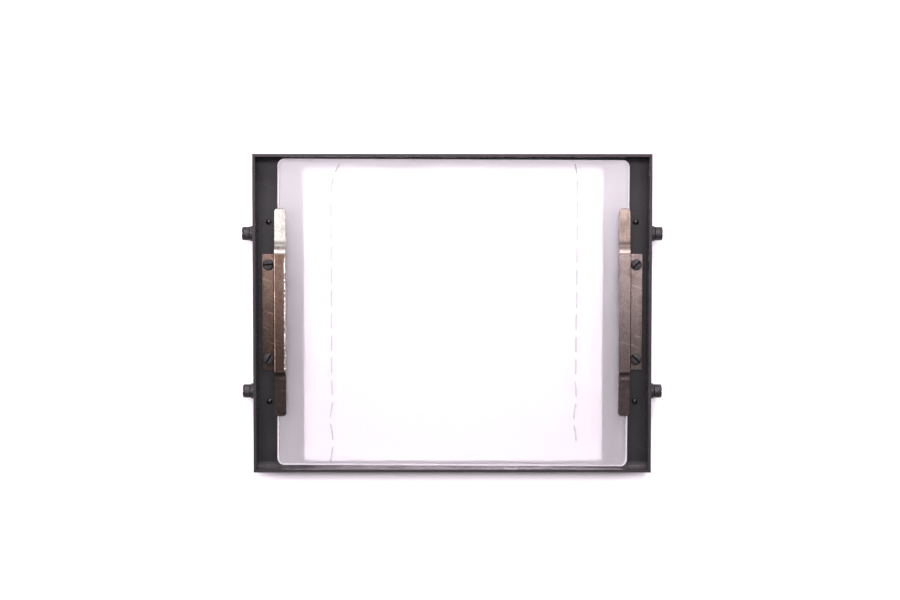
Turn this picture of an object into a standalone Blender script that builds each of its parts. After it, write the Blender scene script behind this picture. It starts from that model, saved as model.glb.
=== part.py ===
"""Sprung glass holder of a film enlarger's negative carrier.

A shallow folded tray carries a pressure glass over a light aperture. Two leaf clips, screwed to
the tray's ledges, reach over the glass and hold it down with two fingers each, so that the glass
can rise a little against them. Four rollers on axle screws guide the tray in the enlarger's stage.

Metres, +Z up. The origin is the centre of the underside. +X runs along the tray's length, towards
one pair of rollers, and the glass goes in from above.
"""

import math

import bpy
import bmesh

# The tray: sheet metal, folded up along its long sides, with end walls let in between them.
TRAY_LENGTH = 0.180
TRAY_WIDTH = 0.1440
TRAY_HEIGHT = 0.0120
FLOOR = 0.0015
WALL = 0.0013
FOLD_INNER_RADIUS = 0.0024
FOLD_OUTER_RADIUS = FOLD_INNER_RADIUS + WALL
TRAY_CORNER_RADIUS = 0.0010
APERTURE_LENGTH = 0.1368
APERTURE_WIDTH = 0.1342
APERTURE_CENTRE = (0.0004, -0.0008)
APERTURE_CORNER_RADIUS = 0.0010

# Touching pieces stand this far apart.
GAP = 0.0003

# The clips, rivets and rollers sit this far behind the tray's middle.
FITTINGS_Y = 0.0004

# The pressure glass: quarter-inch plate with ground arrises and dubbed corners. It lies loose.
GLASS_LENGTH = 0.1594
GLASS_WIDTH = 0.1393
GLASS_CENTRE = (0.0003, 0.0001)
GLASS_THICKNESS = 0.0060
GLASS_CORNER_RADIUS = 0.0032
GLASS_ARRIS = 0.0007
GLASS_CLEARANCE = 0.0004
GLASS_BOTTOM = FLOOR + GLASS_CLEARANCE
GLASS_TOP = GLASS_BOTTOM + GLASS_THICKNESS

# The leaf clips: one strip of spring metal each, a flange, a riser and a raised leaf.
LEAF = 0.0006
LEAF_BEND_RADIUS = 0.0008
CLIP_LENGTH = 0.0529
CLIP_FLANGE_OUTER_X = 0.0868
CLIP_RISER_X = 0.0805
CLIP_LEAF_INNER_X = 0.0754
FINGER_OUTER_X = 0.0804
CLIP_FLANGE_Z = FLOOR + GAP + LEAF / 2
CLIP_LEAF_Z = 0.0107

# The fingers at both ends of a clip's leaf: bent down, then swept into a long gentle slope to a
# rounded tip.
FINGER_REACH = 0.0207
FINGER_STEP = 0.0026
FINGER_STEP_DROP = 0.0013
FINGER_BEND_RADIUS = 0.0006
FINGER_SWEEP_RADIUS = 0.0105
FINGER_TIP_RADIUS = 0.0016
FINGER_TIP_Z = GLASS_TOP + GAP + LEAF / 2

# Slotted screws that hold the clips to the ledges.
SCREW_X = 0.0840
SCREW_Y = 0.0216
SCREW_HEAD_RADIUS = 0.0025
SCREW_HEAD_HEIGHT = 0.0013
SCREW_HEAD_EDGE = 0.0002
SCREW_DOME = 0.0002
SCREW_SHANK_RADIUS = 0.00125
SCREW_SLOT_WIDTH = 0.0006
SCREW_SLOT_DEPTH = 0.0006
SCREW_SLOT_DEGREES = {
    "left_rear": 6,
    "left_front": 58,
    "right_rear": 42,
    "right_front": -43,
}

# Domed rivets in the ledges, beyond the clips.
RIVET_X = 0.0838
RIVET_Y = 0.0411
RIVET_HEAD_RADIUS = 0.0013
RIVET_HEAD_HEIGHT = 0.0008
RIVET_SHANK_RADIUS = 0.0007

# Side rollers: each turns on a shouldered axle screw, between its head and a collar.
ROLLER_Y = 0.0358
ROLLER_Z = 0.0066
ROLLER_RADIUS = 0.0031
ROLLER_LENGTH = 0.0025
COLLAR_RADIUS = 0.0035
COLLAR_THICKNESS = 0.0012
TURNED_EDGE = 0.00015
AXLE_RADIUS = 0.0014
AXLE_HEAD_LENGTH = 0.0006
AXLE_HEAD_EDGE = 0.0005
AXLE_SLOT_WIDTH = 0.0006
AXLE_SLOT_DEPTH = 0.0003
COLLAR_START = TRAY_LENGTH / 2 + GAP
ROLLER_START = COLLAR_START + COLLAR_THICKNESS + GAP
AXLE_HEAD_START = ROLLER_START + ROLLER_LENGTH + GAP

# Facets
ROUND_STEPS = 24
SMALL_ROUND_STEPS = 16
ARC_STEPS = 5
SMALL_ARC_STEPS = 3
SMOOTH_ANGLE = math.radians(32)

SIDES = {"left": -1, "right": 1}
ENDS = {"front": -1, "rear": 1}


def clear_scene():
    for found in list(bpy.data.objects):
        bpy.data.objects.remove(found, do_unlink=True)


def material(name, colour, roughness, metallic, transmission=0.0):
    made = bpy.data.materials.new(name)
    made.use_nodes = True
    shader = made.node_tree.nodes["Principled BSDF"]
    shader.inputs["Base Color"].default_value = (*colour, 1)
    shader.inputs["Roughness"].default_value = roughness
    shader.inputs["Metallic"].default_value = metallic
    shader.inputs["Transmission Weight"].default_value = transmission
    made.diffuse_color = (*colour, 1)
    return made


def corner(name, side, end):
    """The name of a piece that stands at one of the tray's four corners."""
    return f"{name}_{side}_{end}"


# Outlines are lists of 2-D points, anticlockwise.


def arc(centre, radius, start_degrees, end_degrees, steps=ARC_STEPS):
    points = []
    for i in range(steps + 1):
        angle = math.radians(start_degrees + (end_degrees - start_degrees) * i / steps)
        points.append((centre[0] + radius * math.cos(angle), centre[1] + radius * math.sin(angle)))
    return points


def rounded_rectangle(length, width, radius, steps=ARC_STEPS):
    x = length / 2 - radius
    y = width / 2 - radius
    return (
        arc((x, y), radius, 0, 90, steps)
        + arc((-x, y), radius, 90, 180, steps)
        + arc((-x, -y), radius, 180, 270, steps)
        + arc((x, -y), radius, 270, 360, steps)
    )


def trough(half_width, low, high, radius):
    """The cross-section of a folded channel's outside or inside: square above, rounded below."""
    return [(half_width, high), (-half_width, high)] + (
        arc((radius - half_width, low + radius), radius, 180, 270)
        + arc((half_width - radius, low + radius), radius, 270, 360)
    )


def filleted(points, radii, steps=ARC_STEPS):
    """The points and unit normals of an open path whose corners are turned into arcs."""
    path = [points[0]]
    for before, here, after, radius in zip(points, points[1:], points[2:], radii):
        way_in = math.atan2(here[1] - before[1], here[0] - before[0])
        way_out = math.atan2(after[1] - here[1], after[0] - here[0])
        turn = (way_out - way_in + math.pi) % (2 * math.pi) - math.pi
        back = radius * math.tan(abs(turn) / 2)
        side = math.copysign(math.pi / 2, turn)
        start = (here[0] - back * math.cos(way_in), here[1] - back * math.sin(way_in))
        centre = (
            start[0] + radius * math.cos(way_in + side),
            start[1] + radius * math.sin(way_in + side),
        )
        first = math.degrees(way_in - side)
        path += arc(centre, radius, first, first + math.degrees(turn), steps)
    path.append(points[-1])
    rows = []
    for i, here in enumerate(path):
        before = path[max(i - 1, 0)]
        after = path[min(i + 1, len(path) - 1)]
        length = math.dist(before, after)
        rows.append((here, ((before[1] - after[1]) / length, (after[0] - before[0]) / length)))
    return rows


def strip_outline(points, radii, thickness):
    """The closed outline of a sheet of this thickness, bent along a path."""
    rows = filleted(points, radii)
    half = thickness / 2
    upper = [(p[0] + n[0] * half, p[1] + n[1] * half) for p, n in rows]
    lower = [(p[0] - n[0] * half, p[1] - n[1] * half) for p, n in rows]
    return lower + upper[::-1]


# Solids are made as bmesh objects and closed by their end faces.


def loft(rings):
    """A closed solid through rings of points, all with the same number of points."""
    shape = bmesh.new()
    loops = [[shape.verts.new(point) for point in ring] for ring in rings]
    count = len(loops[0])
    for low, high in zip(loops, loops[1:]):
        for i in range(count):
            j = (i + 1) % count
            shape.faces.new((low[i], low[j], high[j], high[i]))
    shape.faces.new(loops[0][::-1])
    shape.faces.new(loops[-1])
    bmesh.ops.recalc_face_normals(shape, faces=shape.faces)
    return shape


def prism_z(outline, low, high):
    return loft([[(x, y, z) for x, y in outline] for z in (low, high)])


def prism_x(outline, low, high):
    """A solid whose outline is in Y and Z."""
    return loft([[(x, y, z) for y, z in outline] for x in (low, high)])


def prism_y(outline, low, high):
    """A solid whose outline is in X and Z."""
    return loft([[(x, y, z) for x, z in outline] for y in (low, high)])


def turned_ring(shape, radius, height, steps):
    """The points of one ring about Z, or the one point on the axis if the radius is zero."""
    if radius == 0:
        return [shape.verts.new((0, 0, height))]
    ring = []
    for i in range(steps):
        angle = 2 * math.pi * i / steps
        ring.append(shape.verts.new((radius * math.cos(angle), radius * math.sin(angle), height)))
    return ring


def turned(profile, steps=ROUND_STEPS, closed=False):
    """A solid turned about Z. The profile gives radius and height, and ends on the axis or, if
    it is closed, joins up with its start to make a ring."""
    shape = bmesh.new()
    rings = [turned_ring(shape, radius, height, steps) for radius, height in profile]
    pairs = list(zip(rings, rings[1:]))
    if closed:
        pairs.append((rings[-1], rings[0]))
    for one, two in pairs:
        for i in range(steps):
            j = (i + 1) % steps
            around = [one[i % len(one)], one[j % len(one)], two[j % len(two)], two[i % len(two)]]
            shape.faces.new(list(dict.fromkeys(around)))
    bmesh.ops.recalc_face_normals(shape, faces=shape.faces)
    return shape


def tube(outer, inner, low, high, edge, steps=ROUND_STEPS):
    """A ring about Z with its outer edges rounded off by this much."""
    profile = [
        (inner, low),
        (outer - edge, low),
        (outer, low + edge),
        (outer, high - edge),
        (outer - edge, high),
        (inner, high),
    ]
    return turned(profile, steps, closed=True)


def cylinder(radius, low, high, steps=ROUND_STEPS):
    return turned([(0, low), (radius, low), (radius, high), (0, high)], steps)


def place(name, shape, finish=None, location=(0, 0, 0), rotation=(0, 0, 0)):
    mesh = bpy.data.meshes.new(name)
    shape.to_mesh(mesh)
    shape.free()
    mesh.shade_smooth()
    mesh.set_sharp_from_angle(angle=SMOOTH_ANGLE)
    made = bpy.data.objects.new(name, mesh)
    if finish:
        mesh.materials.append(finish)
    made.location = location
    made.rotation_euler = rotation
    bpy.context.scene.collection.objects.link(made)
    return made


def cutter(name, shape, location=(0, 0, 0), rotation=(0, 0, 0)):
    made = place(name, shape, None, location, rotation)
    made.hide_render = True
    made.display_type = "WIRE"
    return made


def boolean(target, tool, operation="DIFFERENCE"):
    step = target.modifiers.new(tool.name, "BOOLEAN")
    step.operation = operation
    step.object = tool
    step.solver = "EXACT"


def slot_shape(width, low, high):
    """What a screwdriver slot takes out of a head, right across it along X."""
    outline = [(-width / 2, low), (width / 2, low), (width / 2, high), (-width / 2, high)]
    return prism_x(outline, -2 * SCREW_HEAD_RADIUS, 2 * SCREW_HEAD_RADIUS)


def outward(side):
    """The rotation that turns +Z to point out of the tray's end wall on this side."""
    return (0, math.copysign(math.pi / 2, side), 0)


def make_tray(finish):
    outside = rounded_rectangle(TRAY_LENGTH, TRAY_WIDTH, TRAY_CORNER_RADIUS, SMALL_ARC_STEPS)
    tray = place("tray", prism_z(outside, 0, TRAY_HEIGHT), finish)
    fold = trough(TRAY_WIDTH / 2, 0, TRAY_HEIGHT + WALL, FOLD_OUTER_RADIUS)
    boolean(tray, cutter("tray_fold", prism_x(fold, -TRAY_LENGTH, TRAY_LENGTH)), "INTERSECT")
    inner_length = TRAY_LENGTH / 2 - WALL
    inside = trough(TRAY_WIDTH / 2 - WALL, FLOOR, 2 * TRAY_HEIGHT, FOLD_INNER_RADIUS)
    boolean(tray, cutter("tray_inside", prism_x(inside, -inner_length, inner_length)))
    aperture = rounded_rectangle(APERTURE_LENGTH, APERTURE_WIDTH, APERTURE_CORNER_RADIUS)
    opening = prism_z(aperture, -FLOOR, 2 * FLOOR)
    boolean(tray, cutter("tray_aperture", opening, (*APERTURE_CENTRE, 0)))
    for side, x_sign in SIDES.items():
        for end, y_sign in ENDS.items():
            screw_hole = cutter(
                corner("screw_hole", side, end),
                cylinder(SCREW_SHANK_RADIUS + GAP, -FLOOR, 2 * FLOOR, SMALL_ROUND_STEPS),
                (x_sign * SCREW_X, FITTINGS_Y + y_sign * SCREW_Y, 0),
            )
            rivet_hole = cutter(
                corner("rivet_hole", side, end),
                cylinder(RIVET_SHANK_RADIUS + GAP, -FLOOR, 2 * FLOOR, SMALL_ROUND_STEPS),
                (x_sign * RIVET_X, FITTINGS_Y + y_sign * RIVET_Y, 0),
            )
            axle_hole = cutter(
                corner("axle_hole", side, end),
                cylinder(AXLE_RADIUS + GAP, -2 * WALL, WALL, SMALL_ROUND_STEPS),
                (x_sign * TRAY_LENGTH / 2, FITTINGS_Y + y_sign * ROLLER_Y, ROLLER_Z),
                outward(x_sign),
            )
            for hole in (screw_hole, rivet_hole, axle_hole):
                boolean(tray, hole)
    return tray


def make_glass(finish):
    """The glass's own origin is the centre of its underside, from which it rises."""
    rings = []
    for height, inset in (
        (0, GLASS_ARRIS),
        (GLASS_ARRIS, 0),
        (GLASS_THICKNESS - GLASS_ARRIS, 0),
        (GLASS_THICKNESS, GLASS_ARRIS),
    ):
        outline = rounded_rectangle(
            GLASS_LENGTH - 2 * inset, GLASS_WIDTH - 2 * inset, GLASS_CORNER_RADIUS - inset
        )
        rings.append([(x, y, height) for x, y in outline])
    return place("pressure_glass", loft(rings), finish, (*GLASS_CENTRE, GLASS_BOTTOM))


def make_clip(side, x_sign, finish):
    path = [
        (x_sign * CLIP_FLANGE_OUTER_X, CLIP_FLANGE_Z),
        (x_sign * CLIP_RISER_X, CLIP_FLANGE_Z),
        (x_sign * CLIP_RISER_X, CLIP_LEAF_Z),
        (x_sign * CLIP_LEAF_INNER_X, CLIP_LEAF_Z),
    ]
    outline = strip_outline(path, [LEAF_BEND_RADIUS] * 2, LEAF)
    strip = prism_y(outline, FITTINGS_Y - CLIP_LENGTH / 2, FITTINGS_Y + CLIP_LENGTH / 2)
    clip = place(f"clip_{side}", strip, finish)
    for end, y_sign in ENDS.items():
        hole = cutter(
            corner("clip_hole", side, end),
            cylinder(SCREW_SHANK_RADIUS + GAP, -FLOOR, 2 * FLOOR, SMALL_ROUND_STEPS),
            (x_sign * SCREW_X, FITTINGS_Y + y_sign * SCREW_Y, CLIP_FLANGE_Z),
        )
        boolean(clip, hole)


def finger_half_width(reach):
    """Half the finger's width this far along it, with the tip's corners rounded."""
    full = (FINGER_OUTER_X - CLIP_LEAF_INNER_X) / 2
    past = reach - (FINGER_REACH - FINGER_TIP_RADIUS)
    if past <= 0:
        return full
    return full - FINGER_TIP_RADIUS + math.sqrt(max(FINGER_TIP_RADIUS**2 - past**2, 0))


def make_finger(side, end, x_sign, y_sign, finish):
    """A finger's origin is on its bending axis, where it leaves the clip's leaf."""
    step_start = GAP + FINGER_BEND_RADIUS / 4
    step_end = step_start + FINGER_STEP
    slope = (FINGER_TIP_Z - CLIP_LEAF_Z + FINGER_STEP_DROP) / (FINGER_REACH - step_end)
    tip_start = FINGER_REACH - FINGER_TIP_RADIUS
    path = [
        (GAP / 2, 0),
        (step_start, 0),
        (step_end, -FINGER_STEP_DROP),
        (tip_start, -FINGER_STEP_DROP + slope * (tip_start - step_end)),
    ]
    rows = filleted(path, [FINGER_BEND_RADIUS, FINGER_SWEEP_RADIUS])
    (_, tip_height), tip_normal = rows[-1]
    for i in range(1, ARC_STEPS + 1):
        ahead = FINGER_TIP_RADIUS * math.sin(math.pi / 2 * i / ARC_STEPS)
        rows.append(((tip_start + ahead, tip_height + slope * ahead), tip_normal))
    rings = []
    for (reach, height), normal in rows:
        half = finger_half_width(reach)
        low = (y_sign * (reach - normal[0] * LEAF / 2), height - normal[1] * LEAF / 2)
        high = (y_sign * (reach + normal[0] * LEAF / 2), height + normal[1] * LEAF / 2)
        rings.append([(-half, *low), (half, *low), (half, *high), (-half, *high)])
    middle = (FINGER_OUTER_X + CLIP_LEAF_INNER_X) / 2
    place(
        corner("clip_finger", side, end),
        loft(rings),
        finish,
        (x_sign * middle, FITTINGS_Y + y_sign * CLIP_LENGTH / 2, CLIP_LEAF_Z),
    )


def make_screw(side, end, x_sign, y_sign, finish):
    head_low = CLIP_FLANGE_Z + LEAF / 2 + GAP
    head_high = head_low + SCREW_HEAD_HEIGHT
    profile = []
    for i in range(ARC_STEPS):
        share = i / ARC_STEPS
        radius = share * (SCREW_HEAD_RADIUS - SCREW_HEAD_EDGE)
        profile.append((radius, head_high + SCREW_DOME * (1 - share**2)))
    profile += [
        (SCREW_HEAD_RADIUS - SCREW_HEAD_EDGE, head_high),
        (SCREW_HEAD_RADIUS, head_high - SCREW_HEAD_EDGE),
        (SCREW_HEAD_RADIUS, head_low),
        (SCREW_SHANK_RADIUS, head_low),
        (SCREW_SHANK_RADIUS, GAP),
        (0, GAP),
    ]
    turn = (0, 0, math.radians(SCREW_SLOT_DEGREES[f"{side}_{end}"]))
    where = (x_sign * SCREW_X, FITTINGS_Y + y_sign * SCREW_Y, 0)
    screw = place(corner("clip_screw", side, end), turned(profile), finish, where, turn)
    slot = slot_shape(SCREW_SLOT_WIDTH, head_high - SCREW_SLOT_DEPTH, head_high + FLOOR)
    boolean(screw, cutter(corner("clip_slot", side, end), slot, where, turn))


def make_rivet(side, end, x_sign, y_sign, finish):
    head_low = FLOOR + GAP
    profile = []
    for i in range(ARC_STEPS + 1):
        angle = math.pi / 2 * i / ARC_STEPS
        radius = RIVET_HEAD_RADIUS * math.sin(angle) if i else 0
        profile.append((radius, head_low + RIVET_HEAD_HEIGHT * math.cos(angle)))
    profile += [(RIVET_SHANK_RADIUS, head_low), (RIVET_SHANK_RADIUS, GAP), (0, GAP)]
    place(
        corner("rivet", side, end),
        turned(profile, SMALL_ROUND_STEPS),
        finish,
        (x_sign * RIVET_X, FITTINGS_Y + y_sign * RIVET_Y, 0),
    )


def make_guide(side, end, x_sign, y_sign, finish):
    """The collar, roller and axle screw on one side of an end wall, each with its origin on the axis."""
    where = (0, FITTINGS_Y + y_sign * ROLLER_Y, ROLLER_Z)
    turn = outward(x_sign)
    collar = tube(
        COLLAR_RADIUS,
        AXLE_RADIUS + GAP,
        COLLAR_START,
        COLLAR_START + COLLAR_THICKNESS,
        TURNED_EDGE,
    )
    place(corner("collar", side, end), collar, finish, where, turn)
    roller = tube(
        ROLLER_RADIUS,
        AXLE_RADIUS + GAP,
        ROLLER_START,
        ROLLER_START + ROLLER_LENGTH,
        TURNED_EDGE,
    )
    place(corner("roller", side, end), roller, finish, where, turn)
    head_high = AXLE_HEAD_START + AXLE_HEAD_LENGTH
    rounding = (ROLLER_RADIUS - AXLE_HEAD_EDGE, head_high - AXLE_HEAD_EDGE)
    profile = [
        (0, head_high),
        *arc(rounding, AXLE_HEAD_EDGE, 90, 0, SMALL_ARC_STEPS),
        (ROLLER_RADIUS, AXLE_HEAD_START),
        (AXLE_RADIUS, AXLE_HEAD_START),
        (AXLE_RADIUS, TRAY_LENGTH / 2 - WALL + GAP),
        (0, TRAY_LENGTH / 2 - WALL + GAP),
    ]
    axle = place(corner("axle_screw", side, end), turned(profile), finish, where, turn)
    slot = slot_shape(AXLE_SLOT_WIDTH, head_high - AXLE_SLOT_DEPTH, head_high + FLOOR)
    boolean(axle, cutter(corner("axle_slot", side, end), slot, where, turn))


def main():
    clear_scene()
    black_enamel = material("tray_enamel", (0.055, 0.05, 0.053), 0.45, 0.3)
    glass = material("glass", (0.93, 0.92, 0.94), 0.2, 0.0, 0.6)
    spring_metal = material("spring_metal", (0.42, 0.34, 0.28), 0.35, 1.0)
    black_steel = material("black_steel", (0.06, 0.055, 0.06), 0.35, 0.8)
    rivet_black = material("rivet_black", (0.02, 0.02, 0.02), 0.15, 0.5)
    make_tray(black_enamel)
    make_glass(glass)
    for side, x_sign in SIDES.items():
        make_clip(side, x_sign, spring_metal)
        for end, y_sign in ENDS.items():
            make_finger(side, end, x_sign, y_sign, spring_metal)
            make_screw(side, end, x_sign, y_sign, black_steel)
            make_rivet(side, end, x_sign, y_sign, rivet_black)
            make_guide(side, end, x_sign, y_sign, black_steel)


main()
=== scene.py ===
"""Looks of a negative carrier's sprung glass holder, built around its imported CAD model.

Metres, +Z up, in the CAD's own frame: +X along the tray, the underside at Z = 0. Every place comes
from the CAD nodes' boxes; the constants below are the fine sizes that the boxes don't give.
"""

import math

import bmesh
import bpy
from mathutils import Matrix, Vector, noise


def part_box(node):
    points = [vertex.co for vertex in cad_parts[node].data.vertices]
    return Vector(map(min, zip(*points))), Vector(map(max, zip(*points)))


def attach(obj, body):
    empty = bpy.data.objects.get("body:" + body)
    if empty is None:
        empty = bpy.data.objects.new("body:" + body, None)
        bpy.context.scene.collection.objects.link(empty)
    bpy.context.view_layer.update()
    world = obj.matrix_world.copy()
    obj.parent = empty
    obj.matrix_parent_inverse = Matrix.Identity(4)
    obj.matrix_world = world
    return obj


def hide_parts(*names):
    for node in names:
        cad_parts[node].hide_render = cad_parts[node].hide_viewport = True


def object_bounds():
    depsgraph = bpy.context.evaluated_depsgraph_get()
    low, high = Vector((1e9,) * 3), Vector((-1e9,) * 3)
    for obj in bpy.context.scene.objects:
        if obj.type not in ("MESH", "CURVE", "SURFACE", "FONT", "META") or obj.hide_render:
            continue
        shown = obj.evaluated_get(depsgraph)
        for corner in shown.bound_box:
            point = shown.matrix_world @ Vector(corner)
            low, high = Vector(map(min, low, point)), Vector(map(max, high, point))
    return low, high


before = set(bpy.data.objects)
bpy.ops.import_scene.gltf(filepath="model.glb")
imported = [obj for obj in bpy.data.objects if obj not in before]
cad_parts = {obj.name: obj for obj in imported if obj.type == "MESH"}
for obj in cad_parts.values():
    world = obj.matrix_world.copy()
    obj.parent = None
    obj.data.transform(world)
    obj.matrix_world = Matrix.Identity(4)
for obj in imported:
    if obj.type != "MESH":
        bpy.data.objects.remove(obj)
CAD_LOW, CAD_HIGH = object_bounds()

MM = 0.001
SIDES = {"left": -1, "right": 1}
ENDS = {"front": -1, "rear": 1}

# Sheet metal
FLOOR = 1.5 * MM
WALL = 1.3 * MM
FOLD_INNER_RADIUS = 2.4 * MM
FOLD_OUTER_RADIUS = FOLD_INNER_RADIUS + WALL
CORNER_RADIUS = 1.0 * MM
RIM_EDGE = 0.22 * MM
HOLE_EDGE = 0.1 * MM
APERTURE = (136.8 * MM, 134.2 * MM)
APERTURE_CENTRE = (0.4 * MM, -0.8 * MM)
APERTURE_RADIUS = 1.0 * MM
SCREW_HOLE_RADIUS = 1.55 * MM
RIVET_HOLE_RADIUS = 1.0 * MM
AXLE_HOLE_RADIUS = 1.7 * MM

# Glass
GLASS_CORNER_RADIUS = 3.2 * MM
GLASS_ARRIS = 0.8 * MM
GLASS_SKEW = math.radians(-0.25)
# The dashes of a painted reflection on the glass
MARK_WIDTH = 0.75 * MM
MARK_HEIGHT = 0.02 * MM
MARK_LENGTH = 7.7 * MM
MARK_PITCH = 10.15 * MM

# Leaf clips
LEAF = 0.6 * MM
LEAF_BEND_RADIUS = 0.8 * MM
LEAF_EDGE = 0.1 * MM
FINGER_STEP_START = 0.45 * MM
FINGER_STEP = 2.6 * MM
FINGER_STEP_DROP = 1.3 * MM
FINGER_BEND_RADII = (0.6 * MM, 10.5 * MM)
FINGER_TIP_RADIUS = 1.6 * MM
# Where a painted dark band lies across the rear fingers beyond the joggle, and how far it spreads.
DARK_BAND_REACH = 4.9 * MM
DARK_BAND_SPREAD = 1.7 * MM
# Where a painted highlight lies on the rear fingers' joggle, and how far it spreads.
STEP_SHEEN_REACH = 2.0 * MM
STEP_SHEEN_SPREAD = 2.0 * MM
SHEARED_LENGTH = 0.6 * MM
SHEARED_DROP = 0.10 * MM

# Screws, rivets and rollers
SCREW_SHANK_RADIUS = 1.25 * MM
SCREW_SLOT = 0.75 * MM
SCREW_SLOT_DEPTH = 0.85 * MM
SCREW_EDGE = 0.35 * MM
SCREW_DOME = 0.12 * MM
SCREW_SLOT_DEGREES = {"left_rear": 6, "left_front": 58, "right_rear": 42, "right_front": -43}
RIVET_SHANK_RADIUS = 0.7 * MM
AXLE_RADIUS = 1.4 * MM
AXLE_SLOT = 0.6 * MM
AXLE_SLOT_DEPTH = 0.3 * MM
AXLE_HEAD_EDGE = 0.55 * MM
TURNED_EDGE = 0.18 * MM
TURNED_PITCH = 0.28 * MM
TURNED_DEPTH = 0.025 * MM

# Points closer than this are the same point.
TOUCHING = 0.001 * MM

# Facets
ROUND_STEPS = 96
ARC_STEPS = 12
SHEARED_STEPS = 200
SHARP = math.radians(30)
SMOOTH = math.radians(38)

# Camera, over the object and a little behind its middle
CAMERA_PLACE = (-2.25 * MM, 36.2 * MM, 700 * MM)
CAMERA_TILT = (-2.49, -0.10, 0.01)
CAMERA_LENS = 61.1

# Floor
STAGE_HALF = 3.0
STAGE_GAP = 0.05 * MM

# Light with a faint magenta cast
KEY_TINT = (1.0, 0.91, 0.985)
FILL_TINT = (1.0, 0.89, 0.98)


# ---- outlines: lists of 2-D points


def arc(centre, radius, start_degrees, end_degrees, steps=ARC_STEPS):
    points = []
    for i in range(steps + 1):
        angle = math.radians(start_degrees + (end_degrees - start_degrees) * i / steps)
        points.append((centre[0] + radius * math.cos(angle), centre[1] + radius * math.sin(angle)))
    return points


def rounded_rectangle(length, width, radius, steps=ARC_STEPS):
    x = length / 2 - radius
    y = width / 2 - radius
    return (
        arc((x, y), radius, 0, 90, steps)
        + arc((-x, y), radius, 90, 180, steps)
        + arc((-x, -y), radius, 180, 270, steps)
        + arc((x, -y), radius, 270, 360, steps)
    )


def filleted(points, radii, steps=ARC_STEPS):
    """The points and unit normals of an open path whose corners are turned into arcs."""
    path = [points[0]]
    for before, here, after, radius in zip(points, points[1:], points[2:], radii):
        way_in = math.atan2(here[1] - before[1], here[0] - before[0])
        way_out = math.atan2(after[1] - here[1], after[0] - here[0])
        turn = (way_out - way_in + math.pi) % (2 * math.pi) - math.pi
        back = radius * math.tan(abs(turn) / 2)
        side = math.copysign(math.pi / 2, turn)
        start = (here[0] - back * math.cos(way_in), here[1] - back * math.sin(way_in))
        centre = (
            start[0] + radius * math.cos(way_in + side),
            start[1] + radius * math.sin(way_in + side),
        )
        first = math.degrees(way_in - side)
        path += arc(centre, radius, first, first + math.degrees(turn), steps)
    path.append(points[-1])
    rows = []
    for i, here in enumerate(path):
        before = path[max(i - 1, 0)]
        after = path[min(i + 1, len(path) - 1)]
        length = math.dist(before, after)
        rows.append((here, ((before[1] - after[1]) / length, (after[0] - before[0]) / length)))
    return rows


# ---- shapes: bmesh solids


def loft(rings, closed=False):
    """A solid through rings of points: capped at both ends, or closed into a loop."""
    shape = bmesh.new()
    loops = [[shape.verts.new(point) for point in ring] for ring in rings]
    count = len(loops[0])
    pairs = list(zip(loops, loops[1:]))
    if closed:
        pairs.append((loops[-1], loops[0]))
    else:
        shape.faces.new(loops[0][::-1])
        shape.faces.new(loops[-1])
    for low, high in pairs:
        for i in range(count):
            j = (i + 1) % count
            shape.faces.new((low[i], low[j], high[j], high[i]))
    bmesh.ops.recalc_face_normals(shape, faces=shape.faces)
    return shape


def prism_z(outline, low, high):
    return loft([[(x, y, z) for x, y in outline] for z in (low, high)])


def prism_x(outline, low, high):
    """A solid whose outline is in Y and Z."""
    return loft([[(x, y, z) for y, z in outline] for x in (low, high)])


def turned(profile, steps=ROUND_STEPS):
    """A solid turned about Z. Its profile of (radius, height) starts and ends on the axis."""
    shape = bmesh.new()
    rings = []
    for radius, height in profile:
        if radius == 0:
            rings.append([shape.verts.new((0, 0, height))])
            continue
        angles = [2 * math.pi * i / steps for i in range(steps)]
        rings.append(
            [shape.verts.new((radius * math.cos(a), radius * math.sin(a), height)) for a in angles]
        )
    for one, two in zip(rings, rings[1:]):
        for i in range(steps):
            j = (i + 1) % steps
            around = [one[i % len(one)], one[j % len(one)], two[j % len(two)], two[i % len(two)]]
            shape.faces.new(list(dict.fromkeys(around)))
    bmesh.ops.recalc_face_normals(shape, faces=shape.faces)
    return shape


def ring_solid(profile, steps=ROUND_STEPS):
    """A ring turned about Z. The profile gives radius and height, and closes on itself."""
    angles = [2 * math.pi * i / steps for i in range(steps)]
    rings = [[(r * math.cos(a), r * math.sin(a), h) for r, h in profile] for a in angles]
    return loft(rings, closed=True)


def held(shape):
    """A short-lived object that holds a shape for a Boolean."""
    mesh = bpy.data.meshes.new("held")
    shape.to_mesh(mesh)
    shape.free()
    made = bpy.data.objects.new("held", mesh)
    bpy.context.scene.collection.objects.link(made)
    return made


def cut(shape, tools):
    """The shape with the tools' shapes taken out of it."""
    target = held(shape)
    kept = [held(tool) for tool in tools]
    for tool in kept:
        step = target.modifiers.new("cut", "BOOLEAN")
        step.operation = "DIFFERENCE"
        step.object = tool
        step.solver = "EXACT"
    result = bmesh.new()
    result.from_object(target, bpy.context.evaluated_depsgraph_get())
    for used in [target, *kept]:
        mesh = used.data
        bpy.data.objects.remove(used)
        bpy.data.meshes.remove(mesh)
    bmesh.ops.remove_doubles(result, verts=result.verts, dist=TOUCHING)
    bmesh.ops.dissolve_limit(
        result, angle_limit=math.radians(0.3), verts=result.verts, edges=result.edges
    )
    return result


def soften(shape, width, choose=None, segments=3):
    """Rounds the sharp edges, or the chosen ones of them, and marks the new faces as worn."""
    worn = shape.loops.layers.float.get("worn") or shape.loops.layers.float.new("worn")
    edges = [edge for edge in shape.edges if edge.is_manifold and edge.calc_face_angle() > SHARP]
    if choose:
        edges = [edge for edge in edges if choose(*[vertex.co for vertex in edge.verts])]
    made = bmesh.ops.bevel(
        shape,
        geom=edges,
        offset=width,
        offset_type="OFFSET",
        segments=segments,
        profile=0.5,
        affect="EDGES",
        clamp_overlap=True,
    )
    for face in made["faces"]:
        for loop in face.loops:
            loop[worn] = 1.0
    return shape


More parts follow.
